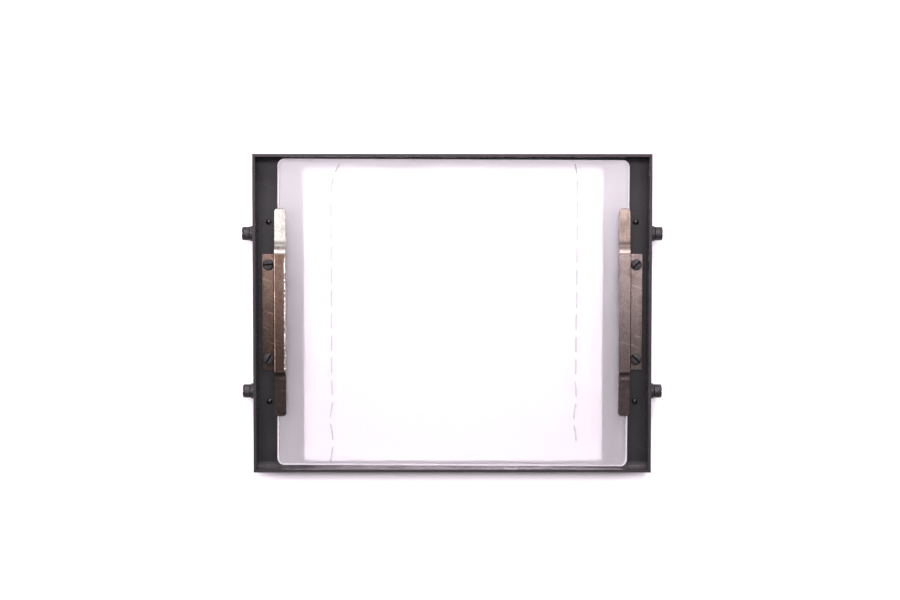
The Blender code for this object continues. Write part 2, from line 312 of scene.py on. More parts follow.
def piece(name, shape, finish, body, replaced, matrix=None):
    """Turns a shape into a finished piece that rides on a body and stands for a CAD node."""
    if matrix:
        shape.transform(matrix)
    mesh = bpy.data.meshes.new(name)
    shape.to_mesh(mesh)
    shape.free()
    mesh.shade_smooth()
    mesh.set_sharp_from_angle(angle=SMOOTH)
    for one in finish if isinstance(finish, list) else [finish]:
        mesh.materials.append(one)
    made = bpy.data.objects.new(name, mesh)
    bpy.context.scene.collection.objects.link(made)
    normals = made.modifiers.new("normals", "WEIGHTED_NORMAL")
    normals.keep_sharp = True
    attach(made, body)
    if replaced:
        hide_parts(replaced)
    return made


# ---- materials


def add(tree, kind, settings=None, **inputs):
    """A node. An input is a value or a node's socket, and _ in its name stands for a space."""
    made = tree.nodes.new(kind)
    for name, value in (settings or {}).items():
        setattr(made, name, value)
    for name, value in inputs.items():
        connect(tree, made.inputs[name.replace("_", " ")], value)
    return made


def connect(tree, socket, value):
    if isinstance(value, bpy.types.NodeSocket):
        tree.links.new(value, socket)
    elif isinstance(value, tuple) and len(value) == 3 and socket.type == "RGBA":
        socket.default_value = (*value, 1)
    else:
        socket.default_value = value


def calculate(tree, operation, *values):
    made = tree.nodes.new("ShaderNodeMath")
    made.operation = operation
    for socket, value in zip(made.inputs, values):
        connect(tree, socket, value)
    return made.outputs[0]


def blend(tree, share, first, second):
    """A colour between two colours."""
    made = tree.nodes.new("ShaderNodeMix")
    made.data_type = "RGBA"
    colours = [socket for socket in made.inputs if socket.type == "RGBA"]
    connect(tree, made.inputs["Factor"], share)
    connect(tree, colours[0], first)
    connect(tree, colours[1], second)
    return next(socket for socket in made.outputs if socket.type == "RGBA")


def between(tree, value, low, high, to_low=0.0, to_high=1.0):
    """Maps a value's stretch from low to high onto another stretch, smoothly and within it."""
    made = add(
        tree,
        "ShaderNodeMapRange",
        {"interpolation_type": "SMOOTHSTEP"},
        Value=value,
        From_Min=low,
        From_Max=high,
        To_Min=to_low,
        To_Max=to_high,
    )
    return made.outputs["Result"]


def place_of(tree, stretch=(1, 1, 1), turn=(0, 0, 0)):
    """The piece's own coordinates, turned and then stretched."""
    source = tree.nodes.new("ShaderNodeTexCoord").outputs["Object"]
    turned_place = add(tree, "ShaderNodeMapping", Vector=source, Rotation=turn)
    made = add(tree, "ShaderNodeMapping", Vector=turned_place.outputs["Vector"], Scale=stretch)
    return made.outputs["Vector"]


def place_on(tree, axis):
    """The piece's own coordinate along one axis."""
    source = tree.nodes.new("ShaderNodeTexCoord").outputs["Object"]
    return add(tree, "ShaderNodeSeparateXYZ", Vector=source).outputs[axis]


def upright_share(tree):
    """How nearly upright the surface stands: 0 for a floor, 1 for a wall."""
    facing = tree.nodes.new("ShaderNodeNewGeometry").outputs["Normal"]
    height = add(tree, "ShaderNodeSeparateXYZ", Vector=facing).outputs["Z"]
    return between(tree, calculate(tree, "ABSOLUTE", height), 0.8, 0.2)


def grain(tree, scale, detail=3.0, stretch=(1, 1, 1), turn=(0, 0, 0), roughness=0.5):
    """A noise with this many features in a metre."""
    made = add(
        tree,
        "ShaderNodeTexNoise",
        Vector=place_of(tree, stretch, turn),
        Scale=scale,
        Detail=detail,
        Roughness=roughness,
    )
    return made.outputs["Fac"]


def scratches(tree, scale, turn, low=0.655, high=0.67):
    """Thin broken lines, all in about one direction."""
    lines = grain(tree, scale, 2.0, (0.035, 1, 1), turn)
    broken = grain(tree, scale / 9, 2.0)
    lines = between(tree, lines, low, high)
    return calculate(tree, "MULTIPLY", lines, between(tree, broken, 0.5, 0.6))


def new_material(name):
    made = bpy.data.materials.new(name)
    made.use_nodes = True
    tree = made.node_tree
    return made, tree, tree.nodes["Principled BSDF"]


def set_shader(tree, shader, **inputs):
    for name, value in inputs.items():
        connect(tree, shader.inputs[name.replace("_", " ")], value)


def worn_share(tree, patches):
    """Where an edge's finish has worn through, in patches."""
    edge = add(tree, "ShaderNodeAttribute", {"attribute_name": "worn"}).outputs["Fac"]
    return calculate(tree, "MULTIPLY", edge, between(tree, patches, 0.38, 0.62))


def front_wall_painted_light(tree, cloudy):
    """Where a pool of light is painted on the front wall's inner face, as light through the glass
    falls on it, most at its middle.
    """
    facing = tree.nodes.new("ShaderNodeNewGeometry").outputs["Normal"]
    rearward = add(tree, "ShaderNodeSeparateXYZ", Vector=facing).outputs["Y"]
    outward = calculate(tree, "ABSOLUTE", place_on(tree, "X"))
    share = between(tree, rearward, 0.5, 0.9)
    for limit in (
        between(tree, place_on(tree, "Y"), -65 * MM, -68 * MM),
        between(tree, place_on(tree, "Z"), 10.5 * MM, 7.5 * MM),
        between(tree, outward, 75 * MM, 35 * MM, 0.15, 1.0),
        between(tree, cloudy, 0.3, 0.6, 0.7, 1.0),
    ):
        share = calculate(tree, "MULTIPLY", share, limit)
    return share


def enamel_material():
    """Satin black stove enamel, rubbed thin along the rims and lightly scratched, with a patch of
    painted light on the front wall's inner face.
    """
    made, tree, shader = new_material("tray_enamel")
    cloudy = grain(tree, 70, 4.0)
    peel = grain(tree, 2600, 2.0)
    rubbed = worn_share(tree, grain(tree, 260, 4.0))
    marks = scratches(tree, 900, (0, 0, 0.5), 0.67, 0.69)
    paint = blend(tree, cloudy, (0.017, 0.017, 0.0177), (0.0228, 0.0226, 0.0233))
    paint = blend(tree, calculate(tree, "MULTIPLY", marks, 0.12), paint, (0.10, 0.095, 0.095))
    rim = between(tree, place_on(tree, "Z"), 0.0112, 0.0119)
    rim_grain = grain(tree, 420, 4.0)
    rim = calculate(tree, "MULTIPLY", rim, between(tree, rim_grain, 0.3, 0.6, 0.45, 0.9))
    colour = blend(tree, calculate(tree, "MAXIMUM", rim, rubbed), paint, (0.027, 0.0245, 0.026))
    # Painted light: a pale pool on the front wall's inner face, where light comes through the glass.
    colour = blend(tree, front_wall_painted_light(tree, cloudy), colour, (0.34, 0.32, 0.33))
    upright = upright_share(tree)
    roughness = between(tree, cloudy, 0.3, 0.7, 0.34, 0.44)
    roughness = calculate(tree, "SUBTRACT", roughness, calculate(tree, "MULTIPLY", upright, 0.16))
    bump = add(tree, "ShaderNodeBump", Strength=0.25, Distance=0.00003, Height=peel)
    set_shader(
        tree,
        shader,
        Base_Color=colour,
        Roughness=roughness,
        Specular_IOR_Level=calculate(tree, "ADD", 0.13, calculate(tree, "MULTIPLY", upright, 0.5)),
        Normal=bump.outputs["Normal"],
    )
    return made


def glass_material():
    """Clear plate glass, a little smeared."""
    made, tree, shader = new_material("glass_face")
    smears = grain(tree, 45, 5.0)
    set_shader(
        tree,
        shader,
        Base_Color=blend(tree, smears, (0.985, 0.985, 0.985), (1.0, 1.0, 1.0)),
        Roughness=between(tree, smears, 0.3, 0.7, 0.17, 0.23),
        Transmission_Weight=1.0,
        IOR=1.5,
    )
    return made


def etched_material():
    """The glass's underside, finely etched against interference rings, which makes it hazy."""
    made, tree, shader = new_material("glass_etched")
    cloudy = grain(tree, 120, 4.0)
    set_shader(
        tree,
        shader,
        Base_Color=blend(tree, cloudy, (0.97, 0.955, 0.97), (1.0, 0.985, 1.0)),
        Roughness=between(tree, grain(tree, 1500, 3.0), 0.3, 0.7, 0.28, 0.34),
        Transmission_Weight=0.60,
        IOR=1.5,
    )
    return made


def ground_material():
    """The glass's edges, ground white."""
    made, tree, shader = new_material("glass_ground")
    strokes = grain(tree, 900, 4.0, (0.2, 0.2, 1))
    chips = between(tree, grain(tree, 500, 3.0), 0.62, 0.7)
    colour = blend(tree, strokes, (0.95, 0.93, 0.96), (1.0, 0.98, 1.0))
    colour = blend(tree, chips, colour, (0.82, 0.84, 0.86))
    bump = add(tree, "ShaderNodeBump", Strength=0.4, Distance=0.00005, Height=strokes)
    set_shader(
        tree,
        shader,
        Base_Color=colour,
        Roughness=0.6,
        Transmission_Weight=0.75,
        Normal=bump.outputs["Normal"],
    )
    return made


def seam_reflection_material():
    """The faint dashes on the glass, a painted reflection of seams above it."""
    made, tree, shader = new_material("painted_seam_reflection")
    faded = grain(tree, 700, 3.0)
    colour = blend(tree, faded, (0.30, 0.30, 0.30), (0.42, 0.42, 0.42))
    set_shader(tree, shader, Base_Color=colour, Roughness=0.5)
    return made


def spring_material(name, tarnish, bright, roughness, front=1.0):
    """Rolled spring metal with a brown tarnish, fine rolling lines, specks and scratches. Painted
    shade darkens the colour by this share towards the front, as the light falls from the rear; the
    rear fingers also get a painted dark band and a painted highlight across their joggle."""
    made, tree, shader = new_material(name)
    rolled = grain(tree, 2600, 3.0, (1, 0.05, 1))
    grained = grain(tree, 1500, 3.0, (1, 0.6, 1))
    blotches = grain(tree, 150, 6.0)
    specks = between(tree, grain(tree, 1900, 2.0), 0.62, 0.74)
    marks = scratches(tree, 1100, (0, 0, 0.35), 0.63, 0.66)
    shares = ((blotches, 0.45), (rolled, 0.2), (grained, 0.35))
    parts = [calculate(tree, "MULTIPLY", pattern, share) for pattern, share in shares]
    patches = calculate(tree, "ADD", calculate(tree, "ADD", parts[0], parts[1]), parts[2])
    colour = blend(tree, between(tree, patches, 0.4, 0.6), tarnish, bright)
    light = tuple(min(1.0, channel * 1.7) for channel in bright)
    colour = blend(tree, calculate(tree, "MULTIPLY", specks, 0.5), colour, light)
    colour = blend(tree, calculate(tree, "MULTIPLY", marks, 0.8), colour, light)
    # Painted shade: the colour darkens towards the front by the given share.
    depth = between(tree, place_on(tree, "Y"), -0.020, 0.012, front, 1.0)
    colour = blend(tree, depth, (0.0, 0.0, 0.0), colour)
    edge = worn_share(tree, grain(tree, 800, 2.0))
    colour = blend(tree, edge, colour, (0.80, 0.74, 0.68))
    # Painted highlight: the rear fingers' joggle gets one set tone, in flecks, for the light it
    # catches.
    painted_step_sheen = add(tree, "ShaderNodeAttribute", {"attribute_name": "painted_step_sheen"}).outputs["Fac"]
    flecks = between(tree, grain(tree, 1100, 3.0), 0.4, 0.6, 0.25, 1.0)
    painted_step_sheen = calculate(tree, "MULTIPLY", painted_step_sheen, flecks)
    colour = blend(tree, painted_step_sheen, colour, (0.125, 0.113, 0.1))
    # Painted shade: a dark band across the rear fingers beyond the joggle, in blotches.
    painted_dark_band = add(tree, "ShaderNodeAttribute", {"attribute_name": "painted_dark_band"}).outputs["Fac"]
    painted_dark_band = calculate(tree, "MULTIPLY", painted_dark_band, between(tree, blotches, 0.3, 0.55, 0.6, 1.0))
    colour = blend(tree, painted_dark_band, colour, tuple(channel * 0.3 for channel in tarnish))
    rough = between(tree, patches, 0.4, 0.6, roughness + 0.05, roughness - 0.04)
    height = calculate(tree, "ADD", grained, calculate(tree, "MULTIPLY", specks, 0.6))
    bump = add(tree, "ShaderNodeBump", Strength=0.2, Distance=0.00003, Height=height)
    set_shader(
        tree,
        shader,
        Base_Color=colour,
        Metallic=1.0,
        Roughness=rough,
        Normal=bump.outputs["Normal"],
    )
    return made


def steel_material():
    """Blackened steel, rubbed to grey on its edges."""
    made, tree, shader = new_material("black_steel")
    patches = grain(tree, 900, 4.0)
    fine = grain(tree, 4000, 2.0)
    rubbed = worn_share(tree, patches)
    marks = scratches(tree, 1500, (0, 0, 0.8), 0.62, 0.66)
    aged = between(tree, patches, 0.35, 0.65)
    colour = blend(tree, aged, (0.021, 0.0205, 0.0215), (0.036, 0.035, 0.0365))
    rubs = calculate(
        tree,
        "MAXIMUM",
        calculate(tree, "MULTIPLY", rubbed, 0.7),
        calculate(tree, "MULTIPLY", marks, 0.5),
    )
    colour = blend(tree, rubs, colour, (0.10, 0.096, 0.097))
    bump = add(tree, "ShaderNodeBump", Strength=0.2, Distance=0.00003, Height=fine)
    set_shader(
        tree,
        shader,
        Base_Color=colour,
        Metallic=0.55,
        Roughness=between(tree, patches, 0.3, 0.7, 0.56, 0.44),
        Normal=bump.outputs["Normal"],
    )
    return made


def slot_shade_material():
    """Painted shade in the screws' slots: near black and matt."""
    made, tree, shader = new_material("slot_painted_shade")
    patches = grain(tree, 2500, 3.0)
    colour = blend(tree, patches, (0.004, 0.0035, 0.004), (0.009, 0.008, 0.009))
    bump = add(tree, "ShaderNodeBump", Strength=0.4, Distance=0.00003, Height=patches)
    set_shader(
        tree,
        shader,
        Base_Color=colour,
        Roughness=0.9,
        Specular_IOR_Level=0.1,
        Normal=bump.outputs["Normal"],
    )
    return made


def rivet_material():
    """Glossy black."""
    made, tree, shader = new_material("rivet_black")
    patches = grain(tree, 1800, 3.0)
    colour = blend(tree, patches, (0.0015, 0.0015, 0.0017), (0.004, 0.0038, 0.004))
    set_shader(
        tree,
        shader,
        Base_Color=colour,
        Roughness=between(tree, patches, 0.3, 0.7, 0.10, 0.16),
        Specular_IOR_Level=0.35,
    )
    return made


def floor_material():
    made, tree, shader = new_material("floor")
    cloudy = grain(tree, 6, 3.0)
    colour = blend(tree, cloudy, (0.93, 0.93, 0.935), (0.95, 0.95, 0.95))
    set_shader(tree, shader, Base_Color=colour, Roughness=0.85)
    return made


# ---- pieces


def corner(name, side, end):
    return f"{name}_{side}_{end}"


def middle_of(node):
    low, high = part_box(node)
    return (low + high) / 2


def round_cutter(radius, centre, low, high):
    """A cylinder along Z."""
    outline = arc((centre.x, centre.y), radius, 0, 360, 40)[:-1]
    return prism_z(outline, low, high)


def tray_sheet(finish):
    """The folded sheet: the floor with its aperture and holes, and the two long walls."""
    low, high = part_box("tray")
    half_width = high.y
    inner = half_width - WALL
    outline = (
        [(inner, high.z), (half_width, high.z)]
        + arc((half_width - FOLD_OUTER_RADIUS, FOLD_OUTER_RADIUS), FOLD_OUTER_RADIUS, 0, -90)
        + arc((FOLD_OUTER_RADIUS - half_width, FOLD_OUTER_RADIUS), FOLD_OUTER_RADIUS, 270, 180)
        + [(-half_width, high.z), (-inner, high.z)]
        + arc((FOLD_INNER_RADIUS - inner, FLOOR + FOLD_INNER_RADIUS), FOLD_INNER_RADIUS, 180, 270)
        + arc((inner - FOLD_INNER_RADIUS, FLOOR + FOLD_INNER_RADIUS), FOLD_INNER_RADIUS, -90, 0)
    )
    aperture_x, aperture_y = APERTURE_CENTRE
    opening = rounded_rectangle(*APERTURE, APERTURE_RADIUS)
    opening = [(x + aperture_x, y + aperture_y) for x, y in opening]
    tools = [prism_z(opening, -FLOOR, 2 * FLOOR)]
    for side in SIDES:
        for end in ENDS:
            screw = middle_of(corner("clip_screw", side, end))
            rivet = middle_of(corner("rivet", side, end))
            tools.append(round_cutter(SCREW_HOLE_RADIUS, screw, -FLOOR, 2 * FLOOR))
            tools.append(round_cutter(RIVET_HOLE_RADIUS, rivet, -FLOOR, 2 * FLOOR))
    shape = cut(prism_x(outline, low.x, high.x), tools)

    def upright_corner(one, two):
        return abs(one.x - two.x) < TOUCHING and abs(one.y - two.y) < TOUCHING and abs(one.y) > inner

    soften(shape, CORNER_RADIUS, upright_corner, 4)
    soften(shape, RIM_EDGE, lambda one, two: min(one.z, two.z) > high.z - TOUCHING)
    soften(shape, HOLE_EDGE, lambda one, two: max(one.z, two.z) < high.z - RIM_EDGE - TOUCHING, 2)
    return piece("tray_sheet", shape, finish, "tray", "tray")


def end_wall(side, x_sign, finish):
    """One end wall, let in between the long walls, with the holes of its two axle screws."""
    _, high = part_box("tray")
    inner = high.y - WALL
    outline = (
        [(inner, high.z), (-inner, high.z)]
        + arc((FOLD_INNER_RADIUS - inner, FLOOR + FOLD_INNER_RADIUS), FOLD_INNER_RADIUS, 180, 270)
        + arc((inner - FOLD_INNER_RADIUS, FLOOR + FOLD_INNER_RADIUS), FOLD_INNER_RADIUS, -90, 0)
    )
    near, far = sorted((x_sign * high.x, x_sign * (high.x - WALL)))
    tools = []
    for end in ENDS:
        centre = middle_of(corner("roller", side, end))
        ring = arc((centre.y, centre.z), AXLE_HOLE_RADIUS, 0, 360, 40)[:-1]
        tools.append(prism_x(ring, near - WALL, far + WALL))
    shape = cut(prism_x(outline, near, far), tools)
    soften(shape, RIM_EDGE, lambda one, two: min(one.z, two.z) > high.z - TOUCHING)
    return piece(f"end_wall_{side}", shape, finish, "tray", None)


def pressure_glass(finishes):
    """The plate: clear faces, an etched underside, and ground edges."""
    low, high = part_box("pressure_glass")
    centre = (low + high) / 2
    size = high - low
    turn = [
        (GLASS_ARRIS * (1 - math.sin(a)), GLASS_ARRIS * (1 - math.cos(a)))
        for a in (0, math.pi / 6, math.pi / 3, math.pi / 2)
    ]
    levels = [(low.z + drop, inset) for inset, drop in turn]
    levels += [(high.z - drop, inset) for inset, drop in reversed(turn)]
    rings = []
    for height, inset in levels:
        outline = rounded_rectangle(
            size.x - 2 * inset, size.y - 2 * inset, GLASS_CORNER_RADIUS - inset
        )
        rings.append([(x, y, height) for x, y in outline])
    shape = loft(rings)
    shape.transform(Matrix.Translation((centre.x, centre.y, 0)) @ Matrix.Rotation(GLASS_SKEW, 4, "Z"))
    for face in shape.faces:
        if face.normal.z > 0.999:
            face.material_index = 0
        elif face.normal.z < -0.999:
            face.material_index = 1
        else:
            face.material_index = 2
    return piece("pressure_glass_plate", shape, finishes, "glass", "pressure_glass")


def painted_seam_reflection(finish):
    """Two rows of faint dashes along the glass, a painted reflection of seams above it, bent in at
    the rear and wavy at the front.
    """
    low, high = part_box("pressure_glass")
    shape = bmesh.new()
    rows = {
        "left": (-54.85 * MM, 0.0, 3.4 * MM, 1.9 * MM),
        "right": (56.3 * MM, 0.008, -1.2 * MM, 1.2 * MM),
    }
    for base, lean, bend, ahead in rows.values():
        start = high.y + ahead
        while start - MARK_LENGTH > low.y + 1.5 * MM:
            top = min(start, high.y - 2 * MM)
            bottom = start - MARK_LENGTH
            points = []
            for i in range(9):
                y = top + (bottom - top) * i / 8
                inward = max(0.0, (y - 54 * MM) / (13 * MM)) ** 2
                waver = max(0.0, min(1.0, (-30 * MM - y) / (10 * MM)))
                x = base + lean * y + bend * inward + 0.5 * MM * waver * math.sin(y / (3.4 * MM))
                points.append((x, y))
            rings = []
            for (x, y), share in zip(points, [0.3, 1, 1, 1, 1, 1, 1, 1, 0.3]):
                half = MARK_WIDTH / 2 * share
                under = high.z + MARK_HEIGHT / 4
                over = high.z + MARK_HEIGHT
                rings.append(
                    [
                        (x - half, y, under),
                        (x + half, y, under),
                        (x + half * 0.8, y, over),
                        (x - half * 0.8, y, over),
                    ]
                )
            dash = loft(rings)
            scrap = bpy.data.meshes.new("scrap")
            dash.to_mesh(scrap)
            dash.free()
            shape.from_mesh(scrap)
            bpy.data.meshes.remove(scrap)
            start -= MARK_PITCH
    return piece("painted_seam_reflection", shape, finish, "glass", None)


def leaf_clip(side, x_sign, finish):
    """A clip's flange, riser and leaf: one bent strip whose inner edge was sheared roughly."""
    low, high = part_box(f"clip_{side}")
    outer = max(abs(low.x), abs(high.x))
    inner = min(abs(low.x), abs(high.x))
    finger_low, finger_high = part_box(corner("clip_finger", side, "rear"))
    riser = max(abs(finger_low.x), abs(finger_high.x)) + 0.2 * MM
    path = [
        (x_sign * outer, low.z + LEAF / 2),
        (x_sign * riser, low.z + LEAF / 2),
        (x_sign * riser, high.z - LEAF / 2),
        (x_sign * inner, high.z - LEAF / 2),
    ]
    rows = filleted(path, [LEAF_BEND_RADIUS] * 2)
    rings = []
    for k in range(SHEARED_STEPS + 1):
        y = low.y + (high.y - low.y) * k / SHEARED_STEPS
        tear = noise.noise(Vector((y * 1000, x_sign * 7, 0)))
        ripple = noise.noise(Vector((y * 2300, x_sign * 3, 5)))
        upper = [(x + n[0] * LEAF / 2, y, z + n[1] * LEAF / 2) for (x, z), n in rows]
        lower = [(x - n[0] * LEAF / 2, y, z - n[1] * LEAF / 2) for (x, z), n in rows]
        edge_x, _, edge_z = upper[-1]
        upper[-1] = (edge_x + x_sign * SHEARED_LENGTH * (1 + 0.3 * tear), y, edge_z)
        drop = SHEARED_DROP * (1 + 0.9 * tear + 0.5 * ripple)
        upper.append((edge_x + x_sign * 0.1 * SHEARED_LENGTH * max(0.0, ripple), y, edge_z - drop))
        rings.append(lower + upper[::-1])
    tools = []
    for end in ENDS:
        where = middle_of(corner("clip_screw", side, end))
        tools.append(round_cutter(SCREW_HOLE_RADIUS, where, low.z - LEAF, low.z + 2 * LEAF))
    shape = cut(loft(rings), tools)

    def free_edge(one, two):
        at_root = min(one.y, two.y) > high.y - TOUCHING or max(one.y, two.y) < low.y + TOUCHING
        on_leaf = max(abs(one.x), abs(two.x)) < riser
        return not (at_root and on_leaf) and min(abs(one.x), abs(two.x)) > inner + SHEARED_LENGTH

    soften(shape, LEAF_EDGE, free_edge, 2)
    worn = shape.loops.layers.float["worn"]
    for face in shape.faces:
        on_edge = all(abs(vertex.co.x) < inner + 1.5 * SHEARED_LENGTH for vertex in face.verts)
        if on_edge and face.normal.z > 0.1:
            for loop in face.loops:
                loop[worn] = 1.0
    return piece(f"leaf_{side}", shape, finish, "tray", f"clip_{side}")


def finger_half_width(reach, length, full):
    past = reach - (length - FINGER_TIP_RADIUS)
    if past <= 0:
        return full
    return full - FINGER_TIP_RADIUS + math.sqrt(max(FINGER_TIP_RADIUS**2 - past**2, 0))


def leaf_finger(side, end, y_sign, finish):
    """A finger: a joggle down from the leaf, then a long gentle slope to a rounded tip."""
    low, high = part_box(corner("clip_finger", side, end))
    clip_low, clip_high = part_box(f"clip_{side}")
    root = clip_high.y if y_sign > 0 else clip_low.y
    length = max(abs(low.y - root), abs(high.y - root))
    leaf_z = clip_high.z - LEAF / 2
    tip_z = low.z + LEAF / 2
    middle = (low.x + high.x) / 2
    full = (high.x - low.x) / 2
    step_z = leaf_z - FINGER_STEP_DROP
    step_end = FINGER_STEP_START + FINGER_STEP
    path = [
        (0, leaf_z),
        (FINGER_STEP_START, leaf_z),
        (step_end, step_z),
        (length, tip_z),
    ]
    rows = filleted(path, FINGER_BEND_RADII, 16)
    (before, _), (tip, tip_normal) = rows[-2:]
    rows.pop()
    run = tip[0] - before[0]
    steps = 40
    for i in range(1, steps + 1):
        share = i / steps
        reach = before[0] + run * share
        height = before[1] + (tip[1] - before[1]) * share
        rows.append(((reach, height), tip_normal))
    rounded = 14
    rows = [row for row in rows if row[0][0] < length - FINGER_TIP_RADIUS]
    for i in range(rounded + 1):
        reach = length - FINGER_TIP_RADIUS + FINGER_TIP_RADIUS * math.sin(math.pi / 2 * i / rounded)
        share = (reach - before[0]) / run
        rows.append(((reach, before[1] + (tip[1] - before[1]) * share), tip_normal))
    rings = []
    for (reach, height), normal in rows:
        half = finger_half_width(reach, length, full)
        under = (root + y_sign * (reach - normal[0] * LEAF / 2), height - normal[1] * LEAF / 2)
        over = (root + y_sign * (reach + normal[0] * LEAF / 2), height + normal[1] * LEAF / 2)
        rings.append(
            [
                (middle - half, *under),
                (middle + half, *under),
                (middle + half, *over),
                (middle - half, *over),
            ]
        )
    shape = loft(rings)

    def free_edge(one, two):
        return abs(one.y - two.y) > TOUCHING or abs(one.y - root) > TOUCHING

    soften(shape, LEAF_EDGE, free_edge, 2)
    # Painted shade: the rear fingers get a dark band beyond the joggle.
    painted_dark_band = shape.loops.layers.float.new("painted_dark_band")
    # Painted highlight: the rear fingers get a set tone at the joggle.
    painted_step_sheen = shape.loops.layers.float.new("painted_step_sheen")
    for face in shape.faces if y_sign > 0 else []:
        for loop in face.loops:
            reach = abs(loop.vert.co.y - root)
            loop[painted_dark_band] = max(0.0, 1 - abs(reach - DARK_BAND_REACH) / DARK_BAND_SPREAD)
            loop[painted_step_sheen] = max(0.0, 1 - abs(reach - STEP_SHEEN_REACH) / STEP_SHEEN_SPREAD)
    name = corner("finger", side, end)
    return piece(
        corner("leaf_finger", side, end),
        shape,
        finish,
        name,
        corner("clip_finger", side, end),
    )


def shaded_slot(shape, half, bottom):
    """Gives the faces inside a screwdriver slot the second material, the painted shade."""
    for face in shape.faces:
        middle = face.calc_center_median()
        inside = abs(middle.y) < half + TOUCHING and middle.z > bottom - TOUCHING
        if inside and all(abs(vertex.co.y) < half + TOUCHING for vertex in face.verts):
            face.material_index = 1


def clip_screw(side, end, finish):
    """A pan-headed slotted screw."""
    low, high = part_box(corner("clip_screw", side, end))
    centre = (low + high) / 2
    radius = (high.x - low.x) / 2
    clip_low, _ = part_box(f"clip_{side}")
    head_low = clip_low.z + LEAF + 0.05 * MM
    profile = [(0, low.z), (SCREW_SHANK_RADIUS, low.z), (SCREW_SHANK_RADIUS, head_low)]
    profile += [(radius - 0.05 * MM, head_low), (radius, head_low + 0.05 * MM)]
    profile += arc((radius - SCREW_EDGE, high.z - SCREW_DOME - SCREW_EDGE), SCREW_EDGE, 0, 78, 6)
    face_radius, face_height = profile[-1]
    steps = 6
    for i in range(1, steps + 1):
        across = face_radius * (1 - i / steps)
        drop = (across / face_radius) ** 2 * (high.z - face_height)
        profile.append((across, high.z - drop))
    half = SCREW_SLOT / 2
    bottom = high.z - SCREW_SLOT_DEPTH
    slot = [(-half, bottom), (half, bottom), (half, high.z + FLOOR), (-half, high.z + FLOOR)]
    shape = cut(turned(profile, 64), [prism_x(slot, -2 * radius, 2 * radius)])
    soften(shape, 0.07 * MM, lambda one, two: min(one.z, two.z) > bottom - TOUCHING, 2)
    shaded_slot(shape, half, bottom)
    turn = Matrix.Rotation(math.radians(SCREW_SLOT_DEGREES[f"{side}_{end}"]), 4, "Z")
    matrix = Matrix.Translation((centre.x, centre.y, 0)) @ turn
    name = corner("clip_screw", side, end)
    return piece(
        corner("slotted_screw", side, end), shape, finish, "tray", name, matrix
    )


def dome_rivet(side, end, finish):
    low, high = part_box(corner("rivet", side, end))
    centre = (low + high) / 2
    radius = (high.x - low.x) / 2
    head_low = FLOOR + 0.02 * MM
    profile = [
        (0, low.z),
        (RIVET_SHANK_RADIUS, low.z),
        (RIVET_SHANK_RADIUS, head_low),
        (radius, head_low),
    ]
    brim = 0.3 * MM
    rise = high.z - head_low - brim
    steps = 16
    for i in range(steps + 1):
        angle = math.pi / 2 * i / steps
        dome_radius = 0 if i == steps else radius * math.cos(angle)
        profile.append((dome_radius, head_low + brim + rise * math.sin(angle)))
    matrix = Matrix.Translation((centre.x, centre.y, 0))
    name = corner("rivet", side, end)
    shape = turned(profile, 48)
    return piece(
        corner("dome_rivet", side, end), shape, finish, "tray", name, matrix
    )


def turned_profile(outer, inner, low, high, edge):
    """A ring's section with rounded outer edges and fine turning marks between them."""
    profile = [(inner, low)]
    profile += arc((outer - edge, low + edge), edge, -90, 0, 5)
    count = max(1, round((high - low - 2 * edge) / TURNED_PITCH))
    pitch = (high - low - 2 * edge) / count
    for i in range(count):
        start = low + edge + pitch * i
        for share, depth in ((0.25, 0), (0.5, TURNED_DEPTH), (0.75, 0)):
            profile.append((outer - depth, start + pitch * share))
    profile += arc((outer - edge, high - edge), edge, 0, 90, 5)
    profile.append((inner, high))
    return profile


def guide(side, end, x_sign, finish, slotted):
    """The collar, the roller and the axle screw's head on one side of an end wall."""
    _, wall_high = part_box("tray")
    turn = Matrix.Rotation(math.copysign(math.pi / 2, x_sign), 4, "Y")
    middle = middle_of(corner("roller", side, end))
    matrix = Matrix.Translation((0, middle.y, middle.z)) @ turn

    def reach(node):
        low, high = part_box(corner(node, side, end))
        near, far = sorted((abs(low.x), abs(high.x)))
        return near, far, (high.z - low.z) / 2

    near, far, radius = reach("collar")
    shape = ring_solid(turned_profile(radius, AXLE_RADIUS, wall_high.x, far, TURNED_EDGE))
    name = corner("collar", side, end)
    piece(corner("turned_collar", side, end), shape, finish, "tray", name, matrix)
    collar_far = far

    near, far, radius = reach("roller")
    shape = ring_solid(turned_profile(radius, AXLE_RADIUS + 0.05 * MM, near, far, TURNED_EDGE))
    name = corner("roller", side, end)
    piece(corner("turned_roller", side, end), shape, finish, name, name, matrix)
    roller_far = far

    near, far, radius = reach("axle_screw")
    head_low = roller_far + 0.15 * MM
    height = far - head_low
    profile = [
        (0, near),
        (AXLE_RADIUS - 0.03 * MM, near),
        (AXLE_RADIUS - 0.03 * MM, head_low),
        (radius - 0.05 * MM, head_low),
    ]
    profile += arc((radius - AXLE_HEAD_EDGE, far - AXLE_HEAD_EDGE), AXLE_HEAD_EDGE, 0, 90, 8)
    profile.append((0, far))
    half = AXLE_SLOT / 2
    bottom = far - AXLE_SLOT_DEPTH
    slot = [(-half, bottom), (half, bottom), (half, far + height), (-half, far + height)]
    shape = cut(turned(profile, 64), [prism_x(slot, -2 * radius, 2 * radius)])
    soften(shape, 0.04 * MM, lambda one, two: min(one.z, two.z) > bottom - TOUCHING, 2)
    shaded_slot(shape, half, bottom)
    name = corner("axle_screw", side, end)
    piece(corner("axle_head", side, end), shape, slotted, "tray", name, matrix)
    return collar_far


# ---- stage


